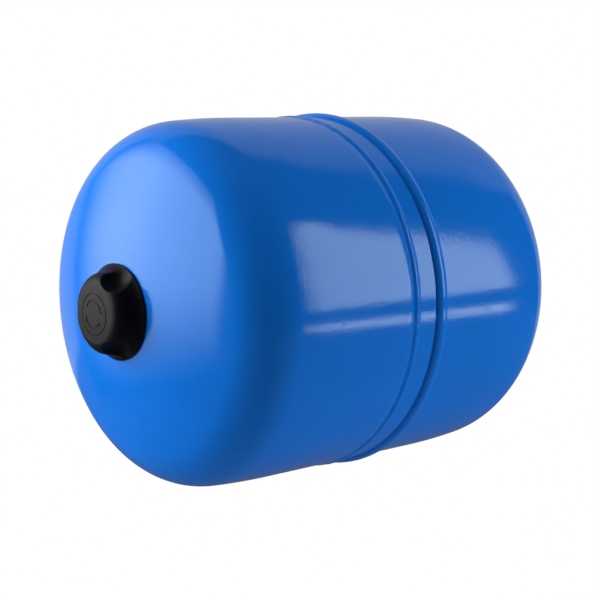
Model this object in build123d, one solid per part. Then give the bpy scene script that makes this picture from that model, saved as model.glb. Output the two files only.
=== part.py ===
from build123d import *
import math
import os

# Expansion vessel with a rubber diaphragm, lying on its side, with a screw cap over its charging valve.
# Millimetres. The origin is on the axis, at the shoulder of the water connection's thread.
# +X runs along the axis and out of the water connection, and +Z is up.

# Driving dimensions of the two steel half shells
VESSEL_RADIUS = 135.0
SHEET = 1.5
AIR_SIDE_STRAIGHT = 83.0
WATER_SIDE_STRAIGHT = 65.2
SHOULDER_RADIUS = 540.0
SHOULDER_TURN = 4.6
KNUCKLE_RADIUS = 43.0
CROWN_RADIUS = 285.0

# Rolled ridge that holds the rubber bead, and the welded joint beside it
RIDGE_WIDTH = 11.9
RIDGE_HEIGHT = 3.0
WELD_OFFSET = 19.0
WELD_HALF_WIDTH = 3.8
WELD_HEIGHT = 1.8
SPIGOT_LENGTH = 10.0
SPIGOT_GAP = 0.05
LIP_OFFSET = 0.75

# Diaphragm, clamp ring and liner, as insets from the shell's outside
LINER_INSET = 1.6
LINER_WALL = 1.2
DIAPHRAGM_INSET = 3.1
DIAPHRAGM_WALL = 2.0
CROWN_WALL = 3.0
CROWN_EDGE_RADIUS = 95.0
CROWN_EDGE_GAP = 0.3
CROWN_PAD_RADIUS = 15.0
CROWN_PAD_HEIGHT = 2.5
BEAD_RADIUS = 2.75
BEAD_CIRCLE_RADIUS = 133.6
TONGUE_INNER_RADIUS = 130.9
TONGUE_OUTER_RADIUS = 133.1
TONGUE_LENGTH = 7.55
CLAMP_RING_OUTER_RADIUS = 130.8
CLAMP_RING_WALL = 2.0
CLAMP_RING_START = -1.5
CLAMP_RING_LENGTH = 14.4

# Water connection: G 3/4 male nipple with a hexagon and a weld flange
THREAD_RADIUS = 13.22
THREAD_LENGTH = 16.0
THREAD_CHAMFER = 1.2
HEXAGON_ACROSS_FLATS = 32.0
HEXAGON_LENGTH = 7.65
HEXAGON_CHAMFER = 1.6
FLANGE_RADIUS = 20.0
FLANGE_THICKNESS = 3.2
FLANGE_CHAMFER = 0.5
FLANGE_SEAT = 0.35
NECK_RADIUS = 15.0
NIPPLE_BORE_RADIUS = 10.0
LINER_NECK_OUTER_RADIUS = 9.9
LINER_NECK_INNER_RADIUS = 8.7
LINER_NECK_END = 15.2
O_RING_SECTION_RADIUS = 1.25
O_RING_CIRCLE_RADIUS = 11.3
O_RING_SEAT_RADIUS = 12.6
O_RING_SEAT_DEPTH = 2.6
O_RING_GAP = 0.05
CONNECTION_WELD_WIDTH = 3.2
CONNECTION_WELD_HEIGHT = 2.3
CONNECTION_WELD_MIDDLE_HEIGHT = 1.43
CONNECTION_WELD_BULGE = 0.2
HOLE_GAP = 0.1
WATER_APEX = -(HEXAGON_LENGTH + FLANGE_THICKNESS - FLANGE_SEAT)

# Charging valve. Heights are outward from the outside of the air side's apex.
VALVE_HOLE_RADIUS = 8.2
SHANK_RADIUS = 7.9
SHANK_TOP = 8.6
SHANK_CHAMFER = 0.6
STEM_RADIUS = 3.85
STEM_TOP = 14.4
STEM_CHAMFER = 0.4
VALVE_FLANGE_RADIUS = 12.0
VALVE_FLANGE_THICKNESS = 2.5
GASKET_THICKNESS = 1.6
GASKET_TOP = -1.76
CORE_BORE_RADIUS = 2.65
INLET_BORE_RADIUS = 2.3
INLET_TOP = -2.2
WASHER_THICKNESS = 1.0
WASHER_RADIUS = 12.6
NUT_THICKNESS = 4.4
NUT_ACROSS_FLATS = 22.0
NUT_CHAMFER = 1.0
NUT_BORE_RADIUS = 8.0

# Threaded collar under the cap
COLLAR_BOTTOM = -0.1
COLLAR_FLOOR = 2.2
COLLAR_TOP = 12.8
COLLAR_FLANGE_RADIUS = 18.0
COLLAR_THREAD_RADIUS = 15.0
COLLAR_BORE_RADIUS = 13.2

# Valve core
BARREL_BOTTOM = -2.0
BARREL_TOP = 13.2
BARREL_RADIUS = 2.6
BARREL_BORE_RADIUS = 1.35
BARREL_FLOOR_TOP = 0.0
BARREL_NOSE_RADIUS = 2.2
BARREL_NOSE_TOP = -1.9
GUIDE_RADIUS = 0.75
CORE_SEAL_BOTTOM = 4.0
CORE_SEAL_TOP = 6.0
CORE_SEAL_GROOVE_RADIUS = 2.2
CORE_SEAL_RADIUS = 2.63
PIN_RADIUS = 0.55
PIN_BOTTOM = -4.4
PIN_TOP = 14.2
PIN_COLLAR_RADIUS = 1.2
PIN_COLLAR_BOTTOM = 11.0
PIN_COLLAR_TOP = 11.6
POPPET_RADIUS = 1.95
POPPET_BOTTOM = -4.0
POPPET_TOP = -2.5
POPPET_SEAL_TOP = -2.05
POPPET_SEAL_RADIUS = 1.8
POPPET_SEAL_BORE_RADIUS = 0.8
SPRING_RADIUS = 0.95
SPRING_WIRE_RADIUS = 0.14
SPRING_TURNS = 7
SPRING_BOTTOM = 0.2
SPRING_TOP = 10.8

# Screw cap. Its heights are measured from its rim, which stands just clear of the dome.
CAP_RIM = -1.8
CAP_RIM_RADIUS = 34.4
CAP_RIM_HEIGHT = 1.6
CAP_FLARE_HEIGHT = 5.2
CAP_FLARE_RADIUS = 31.0
CAP_WAIST_HEIGHT = 10.5
CAP_WAIST_RADIUS = 29.2
CAP_SHOULDER_HEIGHT = 16.9
CAP_SHOULDER_RADIUS = 26.0
CAP_FACE_EDGE_HEIGHT = 19.6
CAP_FACE_EDGE_RADIUS = 19.0
CAP_HEIGHT = 20.3
CAP_WALL = 2.4
CAP_HOLLOW_STEPS = [(14.8, 25.0), (16.8, 22.0), (17.8, 20.0)]
CAP_BOSS_RADIUS = 17.8
CAP_BOSS_ROOT = 0.5
CAP_THREAD_RADIUS = 15.3
CAP_BOSS_HEIGHT = 4.8
SCOOP_COUNT = 3
SCOOP_RADIUS = 13.0
SCOOP_CENTRE_HEIGHT = 15.0
SCOOP_CENTRE_RADIUS = 35.0
SCOOP_WALL = 1.8
SCOOP_FIRST_ANGLE = 0.0
MARK_DEPTH = 0.8
MARK_RING_RADIUS = 14.7
MARK_LINE = 0.6
ARROW_RADIUS = 9.5
ARROW_WIDTH = 1.6
ARROW_SWEEP = 110.0
ARROW_HEAD = 4.4
ARROW_START_ANGLES = [35, 215]
SEAL_RING_BOTTOM = 13.0
SEAL_RING_TOP = 15.8
SEAL_RING_BORE_RADIUS = 13.0

# Places along the axis that follow from the dimensions above
KNUCKLE_OFFSET = SHOULDER_RADIUS - KNUCKLE_RADIUS
KNUCKLE_X = KNUCKLE_OFFSET * math.sin(math.radians(SHOULDER_TURN))
KNUCKLE_Y = VESSEL_RADIUS - SHOULDER_RADIUS + KNUCKLE_OFFSET * math.cos(math.radians(SHOULDER_TURN))
CROWN_TURN = math.degrees(math.acos(KNUCKLE_Y / (CROWN_RADIUS - KNUCKLE_RADIUS)))
CROWN_X = KNUCKLE_X - (CROWN_RADIUS - KNUCKLE_RADIUS) * math.sin(math.radians(CROWN_TURN))
DOME_HEIGHT = CROWN_X + CROWN_RADIUS
WATER_TANGENT = WATER_APEX - DOME_HEIGHT
RIDGE_START = WATER_TANGENT - WATER_SIDE_STRAIGHT
RIDGE_CENTRE = RIDGE_START + RIDGE_WIDTH / 2
RIDGE_END = RIDGE_START + RIDGE_WIDTH
WELD_X = RIDGE_START - WELD_OFFSET
AIR_TANGENT = RIDGE_START - AIR_SIDE_STRAIGHT
AIR_APEX = AIR_TANGENT - DOME_HEIGHT


def arc_about(centre_x, centre_y, radius, start_turn, end_turn, sense):
    """Arc in the profile plane. Turns run from the outward radial towards the dome's apex."""
    points = []
    for turn in (start_turn, (start_turn + end_turn) / 2, end_turn):
        angle = math.radians(turn)
        x = centre_x + sense * radius * math.sin(angle)
        points.append((x, centre_y + radius * math.cos(angle)))
    return ThreePointArc(*points)


def dome_arcs(tangent_x, sense, inset, hole_radius):
    """Shoulder, knuckle and crown of a dome, inset from its outside, down to a hole's radius."""
    last_turn = math.degrees(math.acos(hole_radius / (CROWN_RADIUS - inset)))
    shoulder = arc_about(
        tangent_x, VESSEL_RADIUS - SHOULDER_RADIUS, SHOULDER_RADIUS - inset, 0, SHOULDER_TURN, sense
    )
    knuckle = arc_about(
        tangent_x + sense * KNUCKLE_X, KNUCKLE_Y, KNUCKLE_RADIUS - inset, SHOULDER_TURN, CROWN_TURN, sense
    )
    crown = arc_about(
        tangent_x + sense * CROWN_X, 0, CROWN_RADIUS - inset, CROWN_TURN, last_turn, sense
    )
    return [shoulder, knuckle, crown]


def crown_arc(tangent_x, sense, inset, outer_radius, inner_radius):
    """Part of a dome's crown between two radii."""
    radius = CROWN_RADIUS - inset
    turns = [math.degrees(math.acos(edge / radius)) for edge in (outer_radius, inner_radius)]
    return arc_about(tangent_x + sense * CROWN_X, 0, radius, turns[0], turns[1], sense)


def crown_drop(radius):
    """How far the crown's surface lies behind its apex at a radius."""
    return CROWN_RADIUS - math.sqrt(CROWN_RADIUS**2 - radius**2)


def lathe(outer, inner):
    """Turn the profile between two edge paths that run the same way about the X axis."""
    end_cap = Line(outer[-1] @ 1, inner[-1] @ 1)
    start_cap = Line(inner[0] @ 0, outer[0] @ 0)
    profile = make_face(outer + [end_cap] + inner + [start_cap])
    return revolve(profile, Axis.X)


def path(*points):
    """Straight edges through points."""
    return list(Polyline(*points).edges())


def turned(*points):
    """Turn a closed polygon of (x, radius) points about the X axis."""
    return revolve(make_face(Polyline(*points, close=True)), Axis.X)


def ring(start_x, end_x, inner_radius, outer_radius):
    """Plain ring about the X axis."""
    return turned(
        (start_x, inner_radius), (end_x, inner_radius), (end_x, outer_radius), (start_x, outer_radius)
    )


def out(height):
    """X of a height outward from the air side's apex."""
    return AIR_APEX - height


def hexagon(start_x, end_x, across_flats, chamfer):
    """Hexagonal prism along X with chamfered corners."""
    corner = across_flats / math.sqrt(3)
    prism = Plane.YZ.offset(start_x) * extrude(RegularPolygon(corner, 6), end_x - start_x)
    rounded = turned(
        (start_x, 0),
        (start_x, corner - chamfer),
        (start_x + chamfer / 2, corner),
        (end_x - chamfer / 2, corner),
        (end_x, corner - chamfer),
        (end_x, 0),
    )
    return prism & rounded


def make_air_shell():
    """Cap-side half shell. Its rim steps in to a spigot inside the other shell."""
    step_start = WELD_X - WELD_HALF_WIDTH
    step_end = WELD_X + LIP_OFFSET
    spigot_end = WELD_X + SPIGOT_LENGTH
    paths = []
    for inset in (0, SHEET):
        radius = VESSEL_RADIUS - inset
        spigot_radius = radius - SHEET - SPIGOT_GAP
        rim = path(
            (spigot_end, spigot_radius),
            (step_end, spigot_radius),
            (step_start, radius),
            (AIR_TANGENT, radius),
        )
        paths.append(rim + dome_arcs(AIR_TANGENT, -1, inset, VALVE_HOLE_RADIUS))
    return lathe(*paths)


def make_water_shell():
    """Water-side half shell with the rolled ridge that takes the rubber bead."""
    lip = WELD_X + LIP_OFFSET
    crest_radius = (RIDGE_WIDTH**2 / 4 + RIDGE_HEIGHT**2) / (2 * RIDGE_HEIGHT)
    crest_centre = VESSEL_RADIUS + RIDGE_HEIGHT - crest_radius
    paths = []
    for inset in (0, SHEET):
        radius = VESSEL_RADIUS - inset
        half_width = math.sqrt((crest_radius - inset) ** 2 - (radius - crest_centre) ** 2)
        ridge = ThreePointArc(
            (RIDGE_CENTRE - half_width, radius),
            (RIDGE_CENTRE, VESSEL_RADIUS + RIDGE_HEIGHT - inset),
            (RIDGE_CENTRE + half_width, radius),
        )
        before = Line((lip, radius), ridge @ 0)
        after = Line(ridge @ 1, (WATER_TANGENT, radius))
        paths.append([before, ridge, after] + dome_arcs(WATER_TANGENT, 1, inset, NECK_RADIUS + HOLE_GAP))
    return lathe(*paths)


def make_seam_weld():
    """Weld bead that fills the step between the shells and stands proud of them."""
    lip = WELD_X + LIP_OFFSET
    crest = ThreePointArc(
        (WELD_X - WELD_HALF_WIDTH, VESSEL_RADIUS),
        (WELD_X, VESSEL_RADIUS + WELD_HEIGHT),
        (WELD_X + WELD_HALF_WIDTH, VESSEL_RADIUS),
    )
    root = path(crest @ 1, (lip, VESSEL_RADIUS), (lip, VESSEL_RADIUS - SHEET - SPIGOT_GAP), crest @ 0)
    return revolve(make_face([crest] + root), Axis.X)


def make_clamp_ring():
    """Steel band that presses the rubber bead into the ridge from inside."""
    start = RIDGE_START + CLAMP_RING_START
    inner = CLAMP_RING_OUTER_RADIUS - CLAMP_RING_WALL
    return ring(start, start + CLAMP_RING_LENGTH, inner, CLAMP_RING_OUTER_RADIUS)


def make_diaphragm_rim():
    """Rubber bead in the ridge, with the tongue that leads to the side wall."""
    section = Pos(RIDGE_CENTRE, BEAD_CIRCLE_RADIUS) * Circle(BEAD_RADIUS)
    middle = (TONGUE_INNER_RADIUS + TONGUE_OUTER_RADIUS) / 2
    thickness = TONGUE_OUTER_RADIUS - TONGUE_INNER_RADIUS
    tongue = Pos(RIDGE_CENTRE + TONGUE_LENGTH / 2, middle) * Rectangle(TONGUE_LENGTH, thickness)
    return revolve(section + tongue, Axis.X)


def make_diaphragm_wall():
    """Rubber side wall, lying along the liner when the vessel holds no water."""
    start = RIDGE_CENTRE + TONGUE_LENGTH
    paths = []
    for inset in (DIAPHRAGM_INSET, DIAPHRAGM_INSET + DIAPHRAGM_WALL):
        straight = Line((start, VESSEL_RADIUS - inset), (WATER_TANGENT, VESSEL_RADIUS - inset))
        edge = CROWN_EDGE_RADIUS + CROWN_EDGE_GAP
        paths.append([straight] + dome_arcs(WATER_TANGENT, 1, inset, edge))
    return lathe(*paths)


def make_diaphragm_crown():
    """Thicker rubber crown with a pad that closes the water inlet at rest."""
    outer = crown_arc(WATER_TANGENT, 1, DIAPHRAGM_INSET, CROWN_EDGE_RADIUS, 0)
    inner = crown_arc(WATER_TANGENT, 1, DIAPHRAGM_INSET + CROWN_WALL, CROWN_EDGE_RADIUS, 0)
    inner_x = WATER_APEX - DIAPHRAGM_INSET - CROWN_WALL
    pad = ring(inner_x - CROWN_PAD_HEIGHT, inner_x + CROWN_WALL / 2, 0, CROWN_PAD_RADIUS)
    return lathe([outer], [inner]) + pad


def make_water_liner():
    """Plastic liner of the water side, with a neck through the nipple."""
    start = RIDGE_END + LINER_INSET
    necks = (LINER_NECK_OUTER_RADIUS, LINER_NECK_INNER_RADIUS)
    paths = []
    for inset, neck_radius in zip((LINER_INSET, LINER_INSET + LINER_WALL), necks):
        straight = Line((start, VESSEL_RADIUS - inset), (WATER_TANGENT, VESSEL_RADIUS - inset))
        arcs = dome_arcs(WATER_TANGENT, 1, inset, neck_radius)
        neck = Line(arcs[-1] @ 1, (LINER_NECK_END, neck_radius))
        paths.append([straight] + arcs + [neck])
    return lathe(*paths)


def make_water_connection():
    """Stainless nipple: neck, weld flange, hexagon and male thread at its major diameter."""
    flange_start = -(HEXAGON_LENGTH + FLANGE_THICKNESS)
    inner_end = WATER_APEX - SHEET
    flange = turned(
        (inner_end, 0),
        (inner_end, NECK_RADIUS),
        (flange_start, NECK_RADIUS),
        (flange_start, FLANGE_RADIUS),
        (-HEXAGON_LENGTH - FLANGE_CHAMFER, FLANGE_RADIUS),
        (-HEXAGON_LENGTH, FLANGE_RADIUS - FLANGE_CHAMFER),
        (-HEXAGON_LENGTH, 0),
    )
    grip = hexagon(-HEXAGON_LENGTH, 0, HEXAGON_ACROSS_FLATS, HEXAGON_CHAMFER)
    thread = turned(
        (0, 0),
        (0, THREAD_RADIUS),
        (THREAD_LENGTH - THREAD_CHAMFER, THREAD_RADIUS),
        (THREAD_LENGTH, THREAD_RADIUS - THREAD_CHAMFER),
        (THREAD_LENGTH, 0),
    )
    bore = ring(inner_end, THREAD_LENGTH, 0, NIPPLE_BORE_RADIUS)
    o_ring_seat = ring(inner_end, inner_end + O_RING_SEAT_DEPTH, 0, O_RING_SEAT_RADIUS)
    return flange + grip + thread - bore - o_ring_seat


def make_connection_weld():
    """Fillet weld between the nipple's flange and the dome."""
    outer_radius = FLANGE_RADIUS + CONNECTION_WELD_WIDTH
    middle_radius = (FLANGE_RADIUS + outer_radius) / 2
    seat = ThreePointArc(
        (WATER_APEX - crown_drop(FLANGE_RADIUS), FLANGE_RADIUS),
        (WATER_APEX - crown_drop(middle_radius), middle_radius),
        (WATER_APEX - crown_drop(outer_radius), outer_radius),
    )
    top = (WATER_APEX - crown_drop(FLANGE_RADIUS) + CONNECTION_WELD_HEIGHT, FLANGE_RADIUS)
    bulge_x = WATER_APEX - crown_drop(middle_radius) + CONNECTION_WELD_MIDDLE_HEIGHT
    face = ThreePointArc(seat @ 1, (bulge_x, middle_radius + CONNECTION_WELD_BULGE), top)
    return revolve(make_face([seat, face, Line(top, seat @ 0)]), Axis.X)


def make_connection_o_ring():
    """O-ring between the nipple's inner end and the liner."""
    centre_x = WATER_APEX - SHEET + O_RING_SECTION_RADIUS + O_RING_GAP
    section = Pos(centre_x, O_RING_CIRCLE_RADIUS) * Circle(O_RING_SECTION_RADIUS)
    return revolve(section, Axis.X)


def make_air_valve_body():
    """Brass valve body: inner flange, clamped shank and charging stem."""
    flange_top = GASKET_TOP - GASKET_THICKNESS
    flange_bottom = flange_top - VALVE_FLANGE_THICKNESS
    return turned(
        (out(flange_bottom), INLET_BORE_RADIUS),
        (out(flange_bottom), VALVE_FLANGE_RADIUS),
        (out(flange_top), VALVE_FLANGE_RADIUS),
        (out(flange_top), SHANK_RADIUS),
        (out(SHANK_TOP - SHANK_CHAMFER), SHANK_RADIUS),
        (out(SHANK_TOP), SHANK_RADIUS - SHANK_CHAMFER),
        (out(SHANK_TOP), STEM_RADIUS),
        (out(STEM_TOP - STEM_CHAMFER), STEM_RADIUS),
        (out(STEM_TOP), STEM_RADIUS - STEM_CHAMFER),
        (out(STEM_TOP), CORE_BORE_RADIUS),
        (out(INLET_TOP), CORE_BORE_RADIUS),
        (out(INLET_TOP), INLET_BORE_RADIUS),
    )


def make_valve_gasket():
    """Rubber gasket between the valve body's flange and the inside of the shell."""
    return ring(
        out(GASKET_TOP), out(GASKET_TOP - GASKET_THICKNESS), VALVE_HOLE_RADIUS, VALVE_FLANGE_RADIUS
    )


def make_cap_collar():
    """Plastic collar with the coarse outside thread that the cap screws on."""
    return turned(
        (out(COLLAR_BOTTOM), VALVE_HOLE_RADIUS),
        (out(COLLAR_BOTTOM), COLLAR_FLANGE_RADIUS),
        (out(COLLAR_FLOOR), COLLAR_FLANGE_RADIUS),
        (out(COLLAR_FLOOR), COLLAR_THREAD_RADIUS),
        (out(COLLAR_TOP), COLLAR_THREAD_RADIUS),
        (out(COLLAR_TOP), COLLAR_BORE_RADIUS),
        (out(COLLAR_FLOOR), COLLAR_BORE_RADIUS),
        (out(COLLAR_FLOOR), VALVE_HOLE_RADIUS),
    )


def make_valve_washer():
    """Steel washer on the collar's floor."""
    top = COLLAR_FLOOR + WASHER_THICKNESS
    return ring(out(top), out(COLLAR_FLOOR), VALVE_HOLE_RADIUS, WASHER_RADIUS)


def make_valve_nut():
    """Thin M16 nut that clamps the valve body and the collar."""
    bottom = COLLAR_FLOOR + WASHER_THICKNESS
    nut = hexagon(out(bottom + NUT_THICKNESS), out(bottom), NUT_ACROSS_FLATS, NUT_CHAMFER)
    return nut - ring(out(bottom + NUT_THICKNESS), out(bottom), 0, NUT_BORE_RADIUS)


def make_valve_core_barrel():
    """Barrel of the valve core, with the groove of its rubber seal."""
    return turned(
        (out(BARREL_BOTTOM), GUIDE_RADIUS),
        (out(BARREL_BOTTOM), BARREL_NOSE_RADIUS),
        (out(BARREL_NOSE_TOP), BARREL_RADIUS),
        (out(CORE_SEAL_BOTTOM), BARREL_RADIUS),
        (out(CORE_SEAL_BOTTOM), CORE_SEAL_GROOVE_RADIUS),
        (out(CORE_SEAL_TOP), CORE_SEAL_GROOVE_RADIUS),
        (out(CORE_SEAL_TOP), BARREL_RADIUS),
        (out(BARREL_TOP), BARREL_RADIUS),
        (out(BARREL_TOP), BARREL_BORE_RADIUS),
        (out(BARREL_FLOOR_TOP), BARREL_BORE_RADIUS),
        (out(BARREL_FLOOR_TOP), GUIDE_RADIUS),
    )


def make_valve_core_seal():
    """Rubber seal in the barrel's groove."""
    return ring(out(CORE_SEAL_TOP), out(CORE_SEAL_BOTTOM), CORE_SEAL_GROOVE_RADIUS, CORE_SEAL_RADIUS)


def make_valve_core_spring():
    """Coil spring that pushes the pin outward."""
    height = SPRING_TOP - SPRING_BOTTOM
    coil = Helix(pitch=height / SPRING_TURNS, height=height, radius=SPRING_RADIUS)
    section = Plane(origin=coil @ 0, z_dir=coil % 0) * Circle(SPRING_WIRE_RADIUS)
    wire = sweep(section, path=coil, is_frenet=True)
    return Pos(out(SPRING_TOP), 0, 0) * Rot(0, 90, 0) * wire


def make_valve_pin():
    """Pin of the valve core, with the collar that the spring pushes on."""
    return turned(
        (out(PIN_BOTTOM), 0),
        (out(PIN_BOTTOM), PIN_RADIUS),
        (out(PIN_COLLAR_BOTTOM), PIN_RADIUS),
        (out(PIN_COLLAR_BOTTOM), PIN_COLLAR_RADIUS),
        (out(PIN_COLLAR_TOP), PIN_COLLAR_RADIUS),
        (out(PIN_COLLAR_TOP), PIN_RADIUS),
        (out(PIN_TOP), PIN_RADIUS),
        (out(PIN_TOP), 0),
    )


def make_valve_poppet():
    """Cup on the pin's inner end that carries the rubber seat."""
    return ring(out(POPPET_TOP), out(POPPET_BOTTOM), PIN_RADIUS, POPPET_RADIUS)


def make_poppet_seal():
    """Rubber seat of the valve core."""
    return ring(out(POPPET_SEAL_TOP), out(POPPET_TOP), POPPET_SEAL_BORE_RADIUS, POPPET_SEAL_RADIUS)


def cap_point(height, radius):
    """Profile point of the cap at a height from its rim."""
    return (out(CAP_RIM + height), radius)


def cap_outline():
    """Outside of the cap from its rim to its centre: flared skirt, round shoulder, domed face."""
    rim = Line(cap_point(0, CAP_RIM_RADIUS), cap_point(CAP_RIM_HEIGHT, CAP_RIM_RADIUS))
    flare = ThreePointArc(
        rim @ 1,
        cap_point(CAP_FLARE_HEIGHT, CAP_FLARE_RADIUS),
        cap_point(CAP_WAIST_HEIGHT, CAP_WAIST_RADIUS),
    )
    shoulder = ThreePointArc(
        flare @ 1,
        cap_point(CAP_SHOULDER_HEIGHT, CAP_SHOULDER_RADIUS),
        cap_point(CAP_FACE_EDGE_HEIGHT, CAP_FACE_EDGE_RADIUS),
    )
    rise = CAP_HEIGHT - CAP_FACE_EDGE_HEIGHT
    face_radius = (CAP_FACE_EDGE_RADIUS**2 + rise**2) / (2 * rise)
    middle_radius = CAP_FACE_EDGE_RADIUS / 2
    middle_drop = face_radius - math.sqrt(face_radius**2 - middle_radius**2)
    face = ThreePointArc(
        shoulder @ 1, cap_point(CAP_HEIGHT - middle_drop, middle_radius), cap_point(CAP_HEIGHT, 0)
    )
    return [rim, flare, shoulder, face]


def scoop_balls(radius):
    """Balls centred on the cap's finger scoops."""
    balls = []
    for index in range(SCOOP_COUNT):
        turn = SCOOP_FIRST_ANGLE + 360 / SCOOP_COUNT * index
        centre = cap_point(SCOOP_CENTRE_HEIGHT, SCOOP_CENTRE_RADIUS)
        balls.append(Rot(turn, 0, 0) * Pos(*centre) * Sphere(radius))
    return balls


def spoke_point(angle, length):
    """Point at an angle in degrees and a distance from the origin of a plane."""
    return (length * math.cos(math.radians(angle)), length * math.sin(math.radians(angle)))


def turn_arrow(start_angle):
    """Curved arrow in the plane of the cap's face, drawn about the origin."""
    inner = ARROW_RADIUS - ARROW_WIDTH / 2
    outer = ARROW_RADIUS + ARROW_WIDTH / 2
    end_angle = start_angle + ARROW_SWEEP
    middle_angle = start_angle + ARROW_SWEEP / 2
    corners = [spoke_point(angle, outer * 2) for angle in (start_angle, middle_angle, end_angle)]
    wedge = make_face(Polyline((0, 0), *corners, close=True))
    band = (Circle(outer) - Circle(inner)) & wedge
    head_turn = math.degrees(ARROW_HEAD / ARROW_RADIUS)
    head = make_face(
        Polyline(
            spoke_point(end_angle, ARROW_RADIUS - ARROW_HEAD / 2),
            spoke_point(end_angle, ARROW_RADIUS + ARROW_HEAD / 2),
            spoke_point(end_angle + head_turn, ARROW_RADIUS),
            close=True,
        )
    )
    return band + head


def cap_hollow():
    """Space inside the cap, which leaves a wall behind the finger scoops too."""
    mouth = CAP_RIM_RADIUS - CAP_WALL
    top_height, top_radius = CAP_HOLLOW_STEPS[-1]
    hollow = turned(
        cap_point(0, 0),
        cap_point(0, mouth),
        cap_point(CAP_RIM_HEIGHT, mouth),
        cap_point(CAP_FLARE_HEIGHT, CAP_FLARE_RADIUS - CAP_WALL),
        cap_point(CAP_WAIST_HEIGHT, CAP_WAIST_RADIUS - CAP_WALL),
        *[cap_point(height, radius) for height, radius in CAP_HOLLOW_STEPS],
        cap_point(top_height, 0),
    )
    for ball in scoop_balls(SCOOP_RADIUS + SCOOP_WALL):
        hollow -= ball
    return hollow


def make_protective_cap():
    """Hollow screw cap with three finger scoops, a threaded boss and an engraved mark."""
    outside = cap_outline()
    axis_line = Line(outside[-1] @ 1, cap_point(0, 0))
    rim_line = Line(cap_point(0, 0), outside[0] @ 0)
    body = revolve(make_face(outside + [axis_line, rim_line]), Axis.X) - cap_hollow()
    boss_top = cap_point(CAP_HOLLOW_STEPS[-1][0] + CAP_BOSS_ROOT, 0)[0]
    body += ring(boss_top, cap_point(CAP_BOSS_HEIGHT, 0)[0], CAP_THREAD_RADIUS, CAP_BOSS_RADIUS)
    for ball in scoop_balls(SCOOP_RADIUS):
        body -= ball
    face_x = cap_point(CAP_HEIGHT, 0)[0]
    line_edges = [MARK_RING_RADIUS - MARK_LINE / 2, MARK_RING_RADIUS + MARK_LINE / 2]
    body -= ring(face_x, face_x + MARK_DEPTH, *line_edges)
    for start_angle in ARROW_START_ANGLES:
        body -= Plane.YZ.offset(face_x) * extrude(turn_arrow(start_angle), MARK_DEPTH)
    return body


def make_cap_seal_ring():
    """Soft ring between the collar's top and the cap's ceiling."""
    return ring(out(SEAL_RING_TOP), out(SEAL_RING_BOTTOM), SEAL_RING_BORE_RADIUS, COLLAR_THREAD_RADIUS)


NODES = {
    "air_shell": make_air_shell,
    "water_shell": make_water_shell,
    "seam_weld": make_seam_weld,
    "clamp_ring": make_clamp_ring,
    "diaphragm_rim": make_diaphragm_rim,
    "diaphragm_wall": make_diaphragm_wall,
    "diaphragm_crown": make_diaphragm_crown,
    "water_liner": make_water_liner,
    "water_connection": make_water_connection,
    "connection_weld": make_connection_weld,
    "connection_o_ring": make_connection_o_ring,
    "air_valve_body": make_air_valve_body,
    "valve_gasket": make_valve_gasket,
    "cap_collar": make_cap_collar,
    "valve_washer": make_valve_washer,
    "valve_nut": make_valve_nut,
    "valve_core_barrel": make_valve_core_barrel,
    "valve_core_seal": make_valve_core_seal,
    "valve_core_spring": make_valve_core_spring,
    "valve_pin": make_valve_pin,
    "valve_poppet": make_valve_poppet,
    "poppet_seal": make_poppet_seal,
    "protective_cap": make_protective_cap,
    "cap_seal_ring": make_cap_seal_ring,
}

os.makedirs("parts", exist_ok=True)
for name, make in NODES.items():
    export_step(make(), f"parts/{name}.step")
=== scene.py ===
import math
import random

import bpy
import numpy as np
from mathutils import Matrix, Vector


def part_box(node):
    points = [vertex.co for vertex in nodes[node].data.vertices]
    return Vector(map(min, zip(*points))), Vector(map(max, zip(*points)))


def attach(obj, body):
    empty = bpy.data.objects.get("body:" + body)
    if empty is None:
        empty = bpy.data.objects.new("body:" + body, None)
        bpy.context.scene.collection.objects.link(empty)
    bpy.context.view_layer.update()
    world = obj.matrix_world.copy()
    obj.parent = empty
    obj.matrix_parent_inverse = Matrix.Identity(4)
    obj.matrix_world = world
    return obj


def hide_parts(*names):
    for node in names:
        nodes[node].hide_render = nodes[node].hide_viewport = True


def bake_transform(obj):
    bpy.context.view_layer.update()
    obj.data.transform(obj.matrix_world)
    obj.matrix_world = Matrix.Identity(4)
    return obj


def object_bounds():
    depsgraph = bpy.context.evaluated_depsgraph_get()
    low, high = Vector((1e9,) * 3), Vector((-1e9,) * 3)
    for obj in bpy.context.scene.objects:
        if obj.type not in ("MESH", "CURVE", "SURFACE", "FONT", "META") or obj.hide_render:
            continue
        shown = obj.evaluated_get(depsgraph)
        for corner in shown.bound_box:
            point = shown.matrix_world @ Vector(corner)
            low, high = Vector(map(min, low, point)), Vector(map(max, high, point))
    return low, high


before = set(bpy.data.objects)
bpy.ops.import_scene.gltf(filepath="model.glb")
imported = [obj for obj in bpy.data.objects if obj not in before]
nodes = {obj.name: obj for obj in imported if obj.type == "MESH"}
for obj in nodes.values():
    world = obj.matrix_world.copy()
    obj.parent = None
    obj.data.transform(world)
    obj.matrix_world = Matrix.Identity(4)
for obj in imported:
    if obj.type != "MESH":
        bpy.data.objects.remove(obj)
cad_low, cad_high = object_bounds()
MM = 0.001

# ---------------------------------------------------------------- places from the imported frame
weld_low, weld_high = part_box("seam_weld")
water_low, water_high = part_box("water_shell")
air_low, air_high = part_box("air_shell")
cap_low, cap_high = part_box("protective_cap")
nipple_low, nipple_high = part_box("water_connection")
collar_low, collar_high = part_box("cap_collar")
body_low, body_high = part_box("air_valve_body")

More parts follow.
